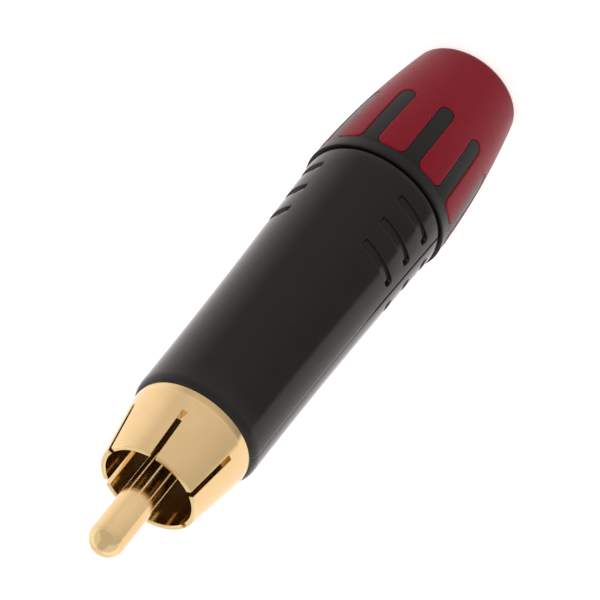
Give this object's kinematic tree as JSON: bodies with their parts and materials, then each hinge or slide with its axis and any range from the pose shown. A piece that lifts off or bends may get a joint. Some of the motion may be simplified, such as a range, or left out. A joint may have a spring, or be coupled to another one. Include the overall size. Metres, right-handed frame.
{
  "type": "rca plug",
  "caption": "Straight RCA phono plug with a slotted gold ground collar, a round signal pin, a black flared housing and a screw-on boot with a red finger grip.",
  "frame": {"origin": "centre of the boot's rear end, on the surface that the plug stands on", "axes": "+Z along the plug's axis towards the tip of the signal pin; -Y out of the plain front panel of the housing; X in the housing's mould parting plane"},
  "size_m": [0.0138, 0.0138, 0.0618],
  "materials": {
    "black_paint": "satin black over a die-cast zinc shell",
    "gold_plate": "polished gold plating over turned brass",
    "insulator_resin": "matt moulded",
    "chuck_resin": "matt moulded",
    "boot_resin": "satin moulded",
    "red_grip": "matt soft overmould"
  },
  "bodies": {
    "boot": {"boot_core": "boot_resin", "boot_grip": "red_grip"},
    "chuck": {"chuck": "chuck_resin"},
    "plug": {"housing": "black_paint", "ground_contact": "gold_plate", "insulator": "insulator_resin", "centre_pin": "gold_plate"}
  },
  "joints": [
    {"name": "boot_turn", "type": "hinge", "parent": "boot", "child": "chuck", "pos_m": [0, 0, 0], "axis": [0, 0, 1], "range_deg": [0, 1800]},
    {"name": "housing_slide", "type": "slide", "parent": "chuck", "child": "plug", "axis": [0, 0, 1], "range_m": [0, 0.005]}
  ],
  "couplings": [
    {"joint": "boot_turn", "follows": "housing_slide", "rad_per_m": 6283.2}
  ]
}
